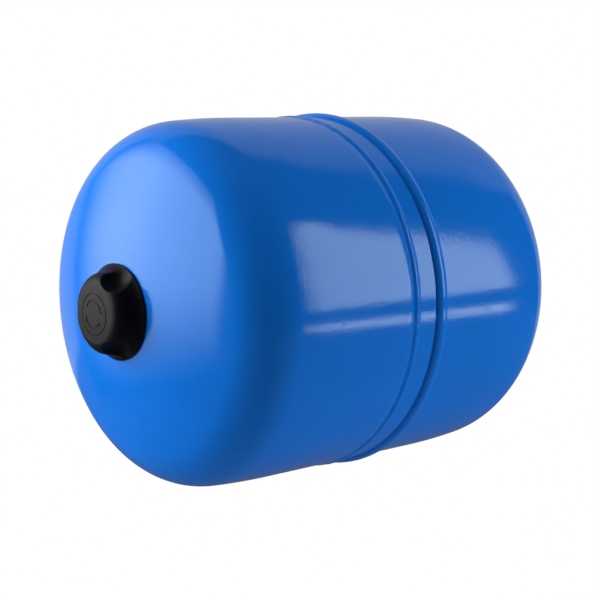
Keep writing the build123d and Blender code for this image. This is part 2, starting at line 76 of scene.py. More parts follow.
# Shell profile, the same on both ends
VESSEL_RADIUS = 135 * MM
SHEET = 1.5 * MM
SHOULDER_RADIUS = 540 * MM
SHOULDER_TURN = math.radians(4.6)
KNUCKLE_RADIUS = 43 * MM
CROWN_RADIUS = 285 * MM
KNUCKLE_OFFSET = SHOULDER_RADIUS - KNUCKLE_RADIUS
KNUCKLE_X = KNUCKLE_OFFSET * math.sin(SHOULDER_TURN)
KNUCKLE_Y = VESSEL_RADIUS - SHOULDER_RADIUS + KNUCKLE_OFFSET * math.cos(SHOULDER_TURN)
CROWN_TURN = math.acos(KNUCKLE_Y / (CROWN_RADIUS - KNUCKLE_RADIUS))
CROWN_X = KNUCKLE_X - (CROWN_RADIUS - KNUCKLE_RADIUS) * math.sin(CROWN_TURN)
DOME_HEIGHT = CROWN_X + CROWN_RADIUS


def crown_drop(radius):
    """How far the crown's outside lies behind its apex at a radius."""
    return CROWN_RADIUS - math.sqrt(CROWN_RADIUS**2 - radius**2)


VALVE_HOLE_RADIUS = 8.2 * MM
WATER_HOLE_RADIUS = 15.1 * MM
AIR_APEX = air_low.x - crown_drop(VALVE_HOLE_RADIUS)
WATER_APEX = water_high.x + crown_drop(WATER_HOLE_RADIUS)
AIR_TANGENT = AIR_APEX + DOME_HEIGHT
WATER_TANGENT = WATER_APEX - DOME_HEIGHT
WELD_X = (weld_low.x + weld_high.x) / 2
WELD_HALF_WIDTH = (weld_high.x - weld_low.x) / 2
WELD_HEIGHT = weld_high.z - VESSEL_RADIUS
RIDGE_START = WELD_X + 19 * MM
RIDGE_WIDTH = 11.9 * MM
RIDGE_HEIGHT = water_high.z - VESSEL_RADIUS
LIP = water_low.x


# ---------------------------------------------------------------- mesh helpers
def make_object(name, vertices, faces, sharp_degrees=30.0):
    """Mesh object from arrays, smooth-shaded except across edges sharper than the angle."""
    mesh = bpy.data.meshes.new(name)
    mesh.from_pydata(vertices.tolist(), [], faces)
    mesh.validate()
    mesh.polygons.foreach_set("use_smooth", [True] * len(mesh.polygons))
    mesh.set_sharp_from_angle(angle=math.radians(sharp_degrees))
    piece = bpy.data.objects.new(name, mesh)
    bpy.context.scene.collection.objects.link(piece)
    return piece


def grid_faces(rows, columns, closed):
    """Quads of a grid that wraps round its columns, and round its rows too if it is closed."""
    faces = []
    for i in range(rows if closed else rows - 1):
        a, b = i * columns, ((i + 1) % rows) * columns
        for j in range(columns):
            k = (j + 1) % columns
            faces.append((a + j, a + k, b + k, b + j))
    return faces


def spin(name, profile, segments, shape=None, closed=True, sharp_degrees=30.0):
    """Turn a profile of (x, radius) points about the X axis. shape(x, radius, angle) may change it."""
    x = np.array([p[0] for p in profile])[:, None]
    radius = np.array([p[1] for p in profile])[:, None]
    angle = np.linspace(0, 2 * np.pi, segments, endpoint=False)[None, :]
    x = x + 0 * angle
    radius = radius + 0 * angle
    if shape:
        x, radius = shape(x, radius, angle + 0 * x)
    points = np.stack([x, radius * np.cos(angle), radius * np.sin(angle)], axis=-1).reshape(-1, 3)
    return make_object(name, points, grid_faces(len(profile), segments, closed), sharp_degrees)


def arc(centre_x, centre_y, radius, start, end, sense, steps):
    """Points of an arc in the profile plane. Turns run from the outward radial towards the apex."""
    turns = np.linspace(start, end, steps + 1)
    return [(centre_x + sense * radius * math.sin(t), centre_y + radius * math.cos(t)) for t in turns]


def dome(tangent_x, sense, inset, hole_radius, steps=(10, 30, 40)):
    """Shoulder, knuckle and crown of a dome, inset from its outside, down to a hole's radius."""
    shoulder = arc(
        tangent_x,
        VESSEL_RADIUS - SHOULDER_RADIUS,
        SHOULDER_RADIUS - inset,
        0,
        SHOULDER_TURN,
        sense,
        steps[0],
    )
    knuckle = arc(
        tangent_x + sense * KNUCKLE_X,
        KNUCKLE_Y,
        KNUCKLE_RADIUS - inset,
        SHOULDER_TURN,
        CROWN_TURN,
        sense,
        steps[1],
    )
    last = math.acos(hole_radius / (CROWN_RADIUS - inset))
    crown = arc(
        tangent_x + sense * CROWN_X, 0, CROWN_RADIUS - inset, CROWN_TURN, last, sense, steps[2]
    )
    return shoulder + knuckle[1:] + crown[1:]


def line(start, end, steps):
    """Points along a straight run, without its last point."""
    return [
        (start[0] + (end[0] - start[0]) * i / steps, start[1] + (end[1] - start[1]) * i / steps)
        for i in range(steps)
    ]


def ripple(seed, lowest, highest, count):
    """Smooth random wave round a circle, about -1 to 1, made of whole-number waves."""
    draw = random.Random(seed)
    waves = [(draw.randint(lowest, highest), draw.uniform(0, 2 * math.pi)) for _ in range(count)]

    def value(angle):
        return sum(np.sin(k * angle + p) for k, p in waves) / math.sqrt(count / 2) / 1.6

    return value


# ---------------------------------------------------------------- materials
def new_material(name):
    material = bpy.data.materials.new(name)
    material.use_nodes = True
    tree = material.node_tree
    shader = tree.nodes["Principled BSDF"]
    where = tree.nodes.new("ShaderNodeTexCoord")
    return material, tree, shader, where.outputs["Object"]


def noise(tree, where, scale, detail=2.0, rough=0.5):
    node = tree.nodes.new("ShaderNodeTexNoise")
    node.inputs["Scale"].default_value = scale
    node.inputs["Detail"].default_value = detail
    node.inputs["Roughness"].default_value = rough
    tree.links.new(where, node.inputs["Vector"])
    return node.outputs["Fac"]


def ramp(tree, factor, stops):
    """Colour ramp through (position, colour) stops."""
    node = tree.nodes.new("ShaderNodeValToRGB")
    elements = node.color_ramp.elements
    while len(elements) < len(stops):
        elements.new(0.5)
    for element, (position, colour) in zip(elements, stops):
        element.position = position
        element.color = (*colour, 1)
    tree.links.new(factor, node.inputs["Fac"])
    return node.outputs["Color"]


def spread(tree, factor, low, high):
    """Map a noise's middle range to low..high."""
    node = tree.nodes.new("ShaderNodeMapRange")
    node.inputs["From Min"].default_value = 0.3
    node.inputs["From Max"].default_value = 0.7
    node.inputs["To Min"].default_value = low
    node.inputs["To Max"].default_value = high
    tree.links.new(factor, node.inputs["Value"])
    return node.outputs["Result"]


def bump(tree, height, distance, strength=1.0, under=None):
    node = tree.nodes.new("ShaderNodeBump")
    node.inputs["Distance"].default_value = distance
    node.inputs["Strength"].default_value = strength
    tree.links.new(height, node.inputs["Height"])
    if under:
        tree.links.new(under, node.inputs["Normal"])
    return node.outputs["Normal"]


def scaled(colour, factor):
    return tuple(min(1.0, c * factor) for c in colour)


def surface(
    name, colour, rough, metallic=0.0, vary=0.06, colour_scale=60.0, rough_vary=0.05, grain=None, peel=None
):
    """Procedural material: colour drift, roughness drift, and bump at one or two scales.
    grain and peel are (texture scale per metre, bump distance in metres)."""
    material, tree, shader, where = new_material(name)
    shader.inputs["Metallic"].default_value = metallic
    drift = noise(tree, where, colour_scale, 3.0)
    stops = [(0.3, scaled(colour, 1 - vary)), (0.7, scaled(colour, 1 + vary))]
    tree.links.new(ramp(tree, drift, stops), shader.inputs["Base Color"])
    patches = noise(tree, where, colour_scale * 3.7, 4.0, 0.6)
    roughness = spread(tree, patches, rough - rough_vary, rough + rough_vary)
    tree.links.new(roughness, shader.inputs["Roughness"])
    normal = None
    for layer in (peel, grain):
        if layer:
            normal = bump(tree, noise(tree, where, layer[0], 2.0), layer[1], under=normal)
    if normal:
        tree.links.new(normal, shader.inputs["Normal"])
    return material, tree, shader


def turned_metal(name, colour, rough, pitch=0.00025, depth=0.000004, metallic=1.0):
    """Machined metal with fine rings round the X axis."""
    material, tree, shader = surface(
        name, colour, rough, metallic, vary=0.05, colour_scale=180.0, rough_vary=0.06
    )
    where = tree.nodes["Texture Coordinate"].outputs["Object"]
    wave = tree.nodes.new("ShaderNodeTexWave")
    wave.wave_type = "BANDS"
    wave.bands_direction = "X"
    wave.inputs["Scale"].default_value = 0.314 / pitch
    wave.inputs["Distortion"].default_value = 0.6
    wave.inputs["Detail"].default_value = 2.0
    tree.links.new(where, wave.inputs["Vector"])
    tree.links.new(bump(tree, wave.outputs["Fac"], depth), shader.inputs["Normal"])
    return material


def enamel(name, peel_distance=0.00008):
    """Gloss blue stoving enamel with a fine orange peel."""
    material, tree, shader = surface(
        name,
        (0.006, 0.190, 0.800),
        0.11,
        vary=0.03,
        colour_scale=14.0,
        rough_vary=0.02,
        peel=(430.0, peel_distance),
        grain=(1500.0, 0.0000008),
    )
    shader.inputs["Specular IOR Level"].default_value = 0.28
    shader.inputs["Specular Tint"].default_value = (0.75, 0.96, 1.0, 1)
    return material


blue = enamel("blue_enamel")
bare_steel, _, _ = surface(
    "drawn_steel_inside", (0.30, 0.30, 0.31), 0.45, 0.9, vary=0.12, grain=(900.0, 0.00001)
)
zinc, _, _ = surface(
    "zinc_plate", (0.60, 0.61, 0.60), 0.34, 1.0, vary=0.10, colour_scale=240.0, grain=(2500.0, 0.000004)
)
stainless = turned_metal("turned_stainless", (0.63, 0.63, 0.64), 0.28)
brass = turned_metal("turned_brass", (0.74, 0.54, 0.24), 0.27, pitch=0.00018)
spring_steel = turned_metal("bright_spring_wire", (0.52, 0.53, 0.55), 0.25, pitch=0.0001)
butyl, _, _ = surface(
    "butyl_rubber", (0.022, 0.022, 0.024), 0.62, vary=0.25, colour_scale=90.0, grain=(2200.0, 0.00002)
)
seal_rubber, _, _ = surface(
    "seal_rubber", (0.016, 0.016, 0.016), 0.55, vary=0.2, colour_scale=300.0, grain=(4000.0, 0.00001)
)
liner_plastic, _, _ = surface(
    "liner_plastic", (0.74, 0.75, 0.72), 0.42, vary=0.04, colour_scale=40.0, grain=(1600.0, 0.00001)
)
black_plastic, _, plastic_shader = surface(
    "black_plastic", (0.006, 0.006, 0.0078), 0.40, vary=0.15, colour_scale=130.0, grain=(2600.0, 0.00003)
)
plastic_shader.inputs["Specular IOR Level"].default_value = 0.10

for node, material in {
    "clamp_ring": zinc,
    "valve_washer": zinc,
    "valve_nut": zinc,
    "water_liner": liner_plastic,
    "connection_o_ring": seal_rubber,
    "valve_gasket": seal_rubber,
    "valve_core_seal": seal_rubber,
    "poppet_seal": seal_rubber,
    "cap_seal_ring": seal_rubber,
    "valve_core_barrel": brass,
    "valve_pin": brass,
    "valve_poppet": brass,
    "valve_core_spring": spring_steel,
}.items():
    nodes[node].data.materials.clear()
    nodes[node].data.materials.append(material)


def place(piece, body, slot, *replaced):
    """The piece rides on a body and stands for CAD nodes. The slot is not used."""
    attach(piece, body)
    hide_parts(*replaced)


# ---------------------------------------------------------------- the two half shells
SEGMENTS = 512
SPIGOT_END = air_high.x


def shell(name, outside, inside):
    """Sheet-metal half shell: enamel outside, bare steel inside."""
    piece = spin(name, outside + inside[::-1], SEGMENTS, sharp_degrees=40)
    piece.data.materials.append(blue)
    piece.data.materials.append(bare_steel)
    rows = len(outside) + len(inside)
    row_material = [0 if i < len(outside) else 1 for i in range(rows)]
    index = np.repeat(row_material, SEGMENTS)
    piece.data.polygons.foreach_set("material_index", index.astype(np.int32))
    return piece


air_paths = []
for inset in (0, SHEET):
    radius = VESSEL_RADIUS - inset
    spigot_radius = radius - SHEET - 0.05 * MM
    rim = line((SPIGOT_END, spigot_radius), (LIP, spigot_radius), 3)
    rim += line((LIP, spigot_radius), (weld_low.x, radius), 4)
    rim += line((weld_low.x, radius), (AIR_TANGENT, radius), 12)
    air_paths.append(rim + dome(AIR_TANGENT, -1, inset, VALVE_HOLE_RADIUS))
air_shell = shell("air_shell_pressing", *air_paths)
place(air_shell, "vessel", "blue_enamel", "air_shell")

crest_radius = (RIDGE_WIDTH**2 / 4 + RIDGE_HEIGHT**2) / (2 * RIDGE_HEIGHT)
crest_centre = VESSEL_RADIUS + RIDGE_HEIGHT - crest_radius
ridge_x = RIDGE_START + RIDGE_WIDTH / 2
water_paths = []
for inset in (0, SHEET):
    radius = VESSEL_RADIUS - inset
    half_turn = math.acos((radius - crest_centre) / (crest_radius - inset))
    ridge = arc(ridge_x, crest_centre, crest_radius - inset, -half_turn, half_turn, 1, 36)
    rows = line((LIP, radius), ridge[0], 6)
    rows += ridge
    rows += line(ridge[-1], (WATER_TANGENT, radius), 10)[1:]
    water_paths.append(rows + dome(WATER_TANGENT, 1, inset, WATER_HOLE_RADIUS))
water_shell = shell("water_shell_pressing", *water_paths)
place(water_shell, "vessel", "blue_enamel", "water_shell")

# ---------------------------------------------------------------- weld beads
bead_height = ripple(11, 18, 90, 14)
bead_side = ripple(12, 12, 70, 10)
bead_crest = ripple(13, 20, 110, 12)
BEAD_SEGMENTS = 1440
# The bead's height as a share of the CAD ring's height, before its lumps
BEAD_FULLNESS = 0.7


def bead_shape(x, radius, angle):
    """Lumps, wandering edges and solidification ripples of a weld bead."""
    proud = np.maximum(radius - VESSEL_RADIUS, 0) / WELD_HEIGHT
    side = (x - WELD_X) / WELD_HALF_WIDTH
    ripples = np.cos(330 * angle - 2.2 * side**2) * 0.035 * MM
    radius = radius + proud * (bead_height(angle) * 0.11 * MM + ripples - 0.16 * MM)
    x = x + 0.28 * MM * bead_side(angle) * (1 - proud) * (np.abs(side) > 0.6)
    x = x + 0.22 * MM * bead_crest(angle) * proud
    return x, radius


steps = np.linspace(-1, 1, 25)
bead = [
    (WELD_X + s * WELD_HALF_WIDTH, VESSEL_RADIUS + WELD_HEIGHT * BEAD_FULLNESS * (1 - s**2) ** 2)
    for s in steps
]
bead_root = VESSEL_RADIUS - 0.1 * MM
bead += [(LIP, bead_root), (LIP, VESSEL_RADIUS - SHEET), (weld_low.x, bead_root)]
seam_weld = spin("seam_weld_bead", bead, BEAD_SEGMENTS, bead_shape, sharp_degrees=50)
seam_weld.data.materials.append(blue)
place(seam_weld, "vessel", "blue_enamel", "seam_weld")

FLANGE_RADIUS = 20 * MM
FILLET_WIDTH = 3.2 * MM
FILLET_HEIGHT = 2.3 * MM
fillet_height = ripple(21, 5, 24, 8)


def fillet_shape(x, radius, angle):
    """Lumps and ripples of the fillet weld round the flange."""
    share = np.clip((radius - FLANGE_RADIUS) / FILLET_WIDTH, 0, 1) * np.clip(
        (FLANGE_RADIUS + FILLET_WIDTH - radius) / FILLET_WIDTH, 0, 1
    )
    lumps = fillet_height(angle) * 0.35 + np.cos(64 * angle) * 0.16
    return x + share * lumps * MM, radius


fillet = []
for i in range(13):
    t = i / 12
    r = FLANGE_RADIUS + FILLET_WIDTH * (1 - t)
    rise = FILLET_HEIGHT * (0.5 * t + 0.5 * t**2) + 0.5 * MM * math.sin(math.pi * t)
    fillet.append((WATER_APEX - crown_drop(r) + rise, r))
fillet += [
    (WATER_APEX - crown_drop(FLANGE_RADIUS + FILLET_WIDTH * s), FLANGE_RADIUS + FILLET_WIDTH * s)
    for s in (0, 0.33, 0.66)
]
connection_weld = spin("connection_weld_bead", fillet, 384, fillet_shape, sharp_degrees=50)
connection_weld.data.materials.append(blue)
place(connection_weld, "vessel", "blue_enamel", "connection_weld")


# ---------------------------------------------------------------- threads and hexagons
def thread_wave(x, angle, pitch, crest=0.12):
    """Depth of a thread, 0 at its crest and 1 at its root, on a right-hand helix along X."""
    phase = np.mod(x / pitch - angle / (2 * np.pi), 1.0)
    rise = np.abs(2 * phase - 1)
    rise = np.clip((rise - crest) / (1 - 2 * crest), 0, 1)
    return 0.5 - 0.5 * np.cos(np.pi * (1 - rise))


def hexagon_radius(angle, across_flats, edge=0.35 * MM):
    """Radius of a hexagon with a corner at angle 0, its corners slightly rounded."""
    turn = np.mod(angle, np.pi / 3) - np.pi / 6
    return np.minimum(across_flats / 2 / np.cos(turn), across_flats / math.sqrt(3) - edge)


HEX_LENGTH = 7.65 * MM
HEX_FLATS = 32 * MM
HEX_CORNER = HEX_FLATS / math.sqrt(3)
THREAD_RADIUS = 13.22 * MM
THREAD_PITCH = 1.814 * MM
THREAD_DEPTH = 1.16 * MM
THREAD_END = nipple_high.x
BORE_RADIUS = 10 * MM
NECK_RADIUS = 15 * MM
NIPPLE_THREAD_ROWS = 170
GROOVE_RADIUS = 12.6 * MM
inner_x = nipple_low.x
flange_x = -HEX_LENGTH - 3.2 * MM


def nipple_shape(x, radius, angle):
    """Hexagon between the flange and the thread, and the thread itself."""
    hexed = (x >= -HEX_LENGTH - 1e-6) & (x <= 1e-6) & (radius > THREAD_RADIUS + 0.3 * MM)
    radius = np.where(hexed, np.minimum(radius, hexagon_radius(angle, HEX_FLATS)), radius)
    threaded = (x > 0.35 * MM) & (radius > BORE_RADIUS + 1.2 * MM)
    runout = np.clip((x - 0.35 * MM) / (2.2 * MM), 0, 1)
    cut = THREAD_RADIUS - THREAD_DEPTH * thread_wave(x, angle, THREAD_PITCH) * runout
    radius = np.where(threaded, np.minimum(radius, cut), radius)
    return x, radius


nipple_profile = [(inner_x, GROOVE_RADIUS), (inner_x, NECK_RADIUS - 0.3 * MM)]
nipple_profile += [(inner_x + 0.3 * MM, NECK_RADIUS), (flange_x, NECK_RADIUS)]
nipple_profile += [(flange_x, FLANGE_RADIUS - 0.2 * MM), (flange_x + 0.2 * MM, FLANGE_RADIUS)]
nipple_profile += [
    (-HEX_LENGTH - 0.5 * MM, FLANGE_RADIUS),
    (-HEX_LENGTH - 0.15 * MM, FLANGE_RADIUS - 0.15 * MM),
    (-HEX_LENGTH - 0.001 * MM, FLANGE_RADIUS - 0.5 * MM),
    (-HEX_LENGTH - 0.001 * MM, HEX_CORNER + 0.05 * MM),
    (-HEX_LENGTH, HEX_CORNER - 1.5 * MM),
    (-HEX_LENGTH + 0.3 * MM, HEX_CORNER - 0.6 * MM),
    (-HEX_LENGTH + 0.8 * MM, HEX_CORNER),
    (-HEX_LENGTH / 2, HEX_CORNER),
    (-1.3 * MM, HEX_CORNER),
    (-0.9 * MM, HEX_CORNER - 0.45 * MM),
    (-0.45 * MM, HEX_CORNER - 1.2 * MM),
    (-0.02 * MM, HEX_CORNER - 2.4 * MM),
    (0, THREAD_RADIUS + 0.25 * MM),
    (0.0, THREAD_RADIUS - 0.9 * MM),
    (0.3 * MM, THREAD_RADIUS - 1.1 * MM),
]
for i in range(NIPPLE_THREAD_ROWS + 1):
    x = 0.4 * MM + (THREAD_END - 0.4 * MM) * i / NIPPLE_THREAD_ROWS
    nipple_profile.append((x, min(THREAD_RADIUS, THREAD_RADIUS - 1.2 * MM + (THREAD_END - x))))
nipple_profile += [
    (THREAD_END, BORE_RADIUS + 0.5 * MM),
    (THREAD_END - 0.15 * MM, BORE_RADIUS + 0.15 * MM),
    (THREAD_END - 0.5 * MM, BORE_RADIUS),
    (0, BORE_RADIUS),
    (inner_x + 2.6 * MM, BORE_RADIUS),
    (inner_x + 2.6 * MM, GROOVE_RADIUS),
]
nipple = spin("water_connection_nipple", nipple_profile, 240, nipple_shape, sharp_degrees=28)
nipple.data.materials.append(stainless)
place(nipple, "vessel", "stainless_steel", "water_connection")

# ---------------------------------------------------------------- charging valve under the cap
def out(height):
    """X of a height outward from the air side's apex, in millimetres."""
    return AIR_APEX - height * MM


def valve_shape(x, radius, angle):
    """M16 fine thread on the shank and valve thread on the stem."""
    height = (AIR_APEX - x) / MM
    shank = (height > 3.4) & (height < 8.4) & (radius > 7.0 * MM)
    radius = np.where(shank, radius - 0.55 * MM * thread_wave(x, -angle, 1.0 * MM), radius)
    stem = (height > 9.2) & (height < 14.3) & (radius > 3.2 * MM)
    return x, np.where(stem, radius - 0.45 * MM * thread_wave(x, -angle, 0.794 * MM), radius)


valve_profile = [(out(-5.86), 2.3 * MM), (out(-5.86), 11.7 * MM), (out(-5.56), 12 * MM)]
valve_profile += [(out(-3.6), 12 * MM), (out(-3.36), 11.8 * MM), (out(-3.36), 7.9 * MM)]
valve_profile += [(out(-3.36 + 11.4 * i / 80), 7.9 * MM) for i in range(1, 81)]
valve_profile += [(out(8.6), 7.3 * MM), (out(8.6), 4.1 * MM)]
valve_profile += [(out(8.8 + 5.2 * i / 70), 3.85 * MM) for i in range(71)]
valve_profile += [(out(14.4), 3.45 * MM), (out(14.4), 2.9 * MM), (out(14.2), 2.65 * MM)]
valve_profile += [(out(-2.2), 2.65 * MM), (out(-2.2), 2.3 * MM)]
valve_body = spin("charging_valve_body", valve_profile, 128, valve_shape, sharp_degrees=30)
valve_body.data.materials.append(brass)
place(valve_body, "vessel", "brass", "air_valve_body")


def collar_shape(x, radius, angle):
    """Coarse outside thread of the collar."""
    height = (AIR_APEX - x) / MM
    threaded = (height > 3.0) & (height < 12.7) & (radius > 14.2 * MM)
    return x, np.where(threaded, radius - 0.75 * MM * thread_wave(x, -angle, 3.0 * MM, 0.2), radius)


collar_profile = [(out(-0.1), 8.2 * MM), (out(-0.1), 17.7 * MM), (out(0.2), 18 * MM), (out(1.9), 18 * MM)]
collar_profile += [(out(2.2), 17.7 * MM), (out(2.2), 15.2 * MM)]
collar_profile += [(out(2.3 + 10.2 * i / 90), 15 * MM) for i in range(91)]
collar_profile += [(out(12.8), 14.6 * MM), (out(12.8), 13.5 * MM), (out(12.5), 13.2 * MM)]
collar_profile += [(out(2.2), 13.2 * MM), (out(2.2), 8.2 * MM)]
collar = spin("cap_collar_threaded", collar_profile, 192, collar_shape, sharp_degrees=30)
collar.data.materials.append(black_plastic)
place(collar, "vessel", "black_plastic", "cap_collar")

# ---------------------------------------------------------------- rubber diaphragm
INSET = 3.1 * MM
WALL = 2 * MM
CROWN_WALL = 3 * MM
RIM_RADIUS = 2.75 * MM
bead_centre = 133.6 * MM
tongue_x = ridge_x + 7.55 * MM
outer = [(tongue_x - 4 * MM, 133.1 * MM), (tongue_x - 1 * MM, 132.6 * MM)]
outer += line((tongue_x, VESSEL_RADIUS - INSET), (WATER_TANGENT, VESSEL_RADIUS - INSET), 14)
outer += dome(WATER_TANGENT, 1, INSET, 0.6 * MM)
inner = line(
    (tongue_x, VESSEL_RADIUS - INSET - WALL), (WATER_TANGENT, VESSEL_RADIUS - INSET - WALL), 14
)
inner = [(tongue_x - 5 * MM, 130.95 * MM), (tongue_x - 1.5 * MM, 130.6 * MM)] + inner
for x, r in dome(WATER_TANGENT, 1, INSET + WALL, 0.6 * MM):
    thicker = min(max((105 * MM - r) / (20 * MM), 0), 1)
    pad = min(max((16.5 * MM - r) / (3 * MM), 0), 1)
    step = (CROWN_WALL - WALL) * thicker * thicker * (3 - 2 * thicker)
    step += 2.5 * MM * pad * pad * (3 - 2 * pad)
    inner.append((x - step, r))
ring_points = []
for i in range(21):
    t = math.radians(35 + 290 * i / 20)
    ring_points.append((ridge_x + RIM_RADIUS * math.cos(t), bead_centre + RIM_RADIUS * math.sin(t)))
diaphragm = spin("rubber_diaphragm", ring_points + inner + outer[::-1], 256, sharp_degrees=45)
diaphragm.data.materials.append(butyl)
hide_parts("diaphragm_rim", "diaphragm_wall", "diaphragm_crown")
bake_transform(diaphragm)

# ---------------------------------------------------------------- screw cap
# Lengths and heights of the cap are in millimetres
CAP_COLUMNS = 600
SCOOPS = 3
SCOOP_RADIUS = 13.0
SCOOP_ROUNDING = 1.1
SCOOP_HEIGHT = 15.0
SCOOP_CENTRE = 35.0
SCOOP_WALL = 1.8
CAP_HEIGHT = 20.3
CAP_CEILING = 17.8
CAP_BOSS_BORE = 15.3
CAP_THREAD_PITCH = 3.0
# Corners of the cap's outside as (height, radius)
FACE_EDGE = (19.6, 19.0)
CAP_SHOULDER = (16.9, 26.0)
CAP_WAIST = (10.5, 29.2)
CAP_FLARE = (5.2, 31.0)
CAP_FOOT = (1.6, 34.4)
# Marks on the cap's face: radii of the ring and the arrows, the arrows' sweep in degrees and their heads
MARK_RING = 14.7
ARROW_RADIUS = 9.5
ARROW_SWEEP = 110
ARROW_HEAD = 4.4
cap_rim_x = cap_high.x


def circle_through(a, b, c, steps):
    """Points of the circular arc through three profile points, without its last point."""
    ax, ay, bx, by, cx, cy = *a, *b, *c
    d = 2 * (ax * (by - cy) + bx * (cy - ay) + cx * (ay - by))
    ux = ((ax**2 + ay**2) * (by - cy) + (bx**2 + by**2) * (cy - ay) + (cx**2 + cy**2) * (ay - by)) / d
    uy = ((ax**2 + ay**2) * (cx - bx) + (bx**2 + by**2) * (ax - cx) + (cx**2 + cy**2) * (bx - ax)) / d
    r = math.hypot(ax - ux, ay - uy)
    t0, t1, t2 = (math.atan2(p[1] - uy, p[0] - ux) for p in (a, b, c))
    t1 = t0 + math.remainder(t1 - t0, 2 * math.pi)
    t2 = t1 + math.remainder(t2 - t1, 2 * math.pi)
    return [
        (ux + r * math.cos(t0 + (t2 - t0) * i / steps), uy + r * math.sin(t0 + (t2 - t0) * i / steps))
        for i in range(steps)
    ]


# Outside of the cap in millimetres as (height from the rim, radius), from its centre to its rim
face_rows = list(np.arange(0.15, 7.0, 0.45)) + list(np.arange(7.0, 12.0, 0.13))
face_rows += list(np.arange(12.0, 14.1, 0.3)) + list(np.arange(14.1, 15.3, 0.075))
face_rows += list(np.arange(15.3, 19.0, 0.35))
FACE_RISE = 0.7
FACE_RADIUS = (FACE_EDGE[1] ** 2 + FACE_RISE**2) / (2 * FACE_RISE)
outside = [(CAP_HEIGHT - (FACE_RADIUS - math.sqrt(FACE_RADIUS**2 - r * r)), r) for r in face_rows]
outside += circle_through(FACE_EDGE, CAP_SHOULDER, CAP_WAIST, 70)
outside += circle_through(CAP_WAIST, CAP_FLARE, CAP_FOOT, 34)
outside += [CAP_FOOT, (1.1, 34.4), (0.6, 34.4), (0.25, 34.3), (0.05, 34.1), (0.0, 33.8)]
inside = [(0.0, 32.5), (0.2, 32.1), (1.6, 32.0)]
inside += circle_through((1.6, 32.0), (5.2, 28.6), (10.5, 26.8), 16)
inside += [(10.5, 26.8), (12.5, 26.2), (14.8, 25.0), (16.8, 22.0), (CAP_CEILING, 20.0), (CAP_CEILING, 18.3)]
inside += [(17.3, 17.8), (5.1, 17.8), (4.8, 17.5), (4.8, 15.6), (5.1, CAP_BOSS_BORE)]
inside += [(5.3 + 12.3 * i / 90, CAP_BOSS_BORE) for i in range(91)]
inside += [(CAP_CEILING, 15.2), (CAP_CEILING, 8.0), (CAP_CEILING, 0.15)]


def soften(points, rounds):
    """Round the corners of a polyline a little, keeping its ends."""
    points = [np.array(p) for p in points]
    for _ in range(rounds):
        middle = [(a + 2 * b + c) / 4 for a, b, c in zip(points, points[1:], points[2:])]
        points = [points[0]] + middle + [points[-1]]
    return [tuple(p) for p in points]


outside = soften(outside[:-6], 6) + outside[-6:]
cap_profile = outside + inside
heights = np.array([p[0] for p in cap_profile])
radii = np.array([p[1] for p in cap_profile])
tangent_h, tangent_r = np.gradient(heights), np.gradient(radii)
length = np.hypot(tangent_h, tangent_r) + 1e-12
# The profile runs from the centre out to the rim and back inside, so the wall is on its right
inward_h, inward_r = -np.abs(tangent_r) / length, -np.abs(tangent_h) / length
count_out = len(outside)
angle = np.linspace(0, 2 * np.pi, CAP_COLUMNS, endpoint=False)
height_grid = heights[:, None] + 0 * angle[None, :]
radius_grid = radii[:, None] + 0 * angle[None, :]


def smooth_max(a, b, k):
    h = np.maximum(k - np.abs(a - b), 0) / k
    return np.maximum(a, b) + h * h * k / 4


def scoop_depth(rows, ball_radius, rounding):
    """How far each point of some profile rows is pushed inward by the three finger scoops."""
    depth = np.zeros((len(rows), CAP_COLUMNS))
    h, r = heights[rows][:, None], radii[rows][:, None]
    nh, nr = inward_h[rows][:, None], inward_r[rows][:, None]
    for k in range(SCOOPS):
        turn = 2 * np.pi * k / SCOOPS

        def field(t):
            hh, rr = h + nh * t, r + nr * t
            y, z = rr * np.cos(angle - turn), rr * np.sin(angle - turn)
            away = np.sqrt((hh - SCOOP_HEIGHT) ** 2 + (y - SCOOP_CENTRE) ** 2 + z**2)
            return smooth_max(-t, ball_radius - away, rounding)

        low, high = np.zeros_like(depth), np.full_like(depth, 13.0)
        for _ in range(26):
            middle = (low + high) / 2
            outside_wall = field(middle) > 1e-5
            low = np.where(outside_wall, middle, low)
            high = np.where(outside_wall, high, middle)
        depth = np.maximum(depth, high)
    return depth


outer_rows = np.arange(count_out)
skirt_inside = np.array([i for i in range(count_out, len(cap_profile)) if radii[i] > 17.9])
for rows, ball, rounding in (
    (outer_rows, SCOOP_RADIUS, SCOOP_ROUNDING),
    (skirt_inside, SCOOP_RADIUS + SCOOP_WALL, 0.5),
):
    depth = scoop_depth(rows, ball, rounding)
    height_grid[rows] += inward_h[rows][:, None] * depth
    radius_grid[rows] += inward_r[rows][:, None] * depth


def smooth_step(low, high, value):
    t = np.clip((value - low) / (high - low), 0, 1)
    return t * t * (3 - 2 * t)


def mark_depth(radius, turn):
    """Engraved ring and two turn arrows on the cap's face, in millimetres."""
    ring = 1 - smooth_step(0.16, 0.34, np.abs(radius - MARK_RING))
    depth = 0.45 * ring
    for start in (35, 215):
        along = np.mod(np.degrees(turn) - start, 360)
        away = np.abs(radius - ARROW_RADIUS)
        band = (1 - smooth_step(0.68, 0.88, away)) * (along < ARROW_SWEEP + 1)
        past = (along - ARROW_SWEEP) / math.degrees(ARROW_HEAD / ARROW_RADIUS)
        half = ARROW_HEAD / 2 * (1 - past)
        head = (1 - smooth_step(half - 0.12, half + 0.08, away)) * (past >= 0) * (past < 1)
        depth = np.maximum(depth, 0.5 * np.maximum(band, head))
    return depth


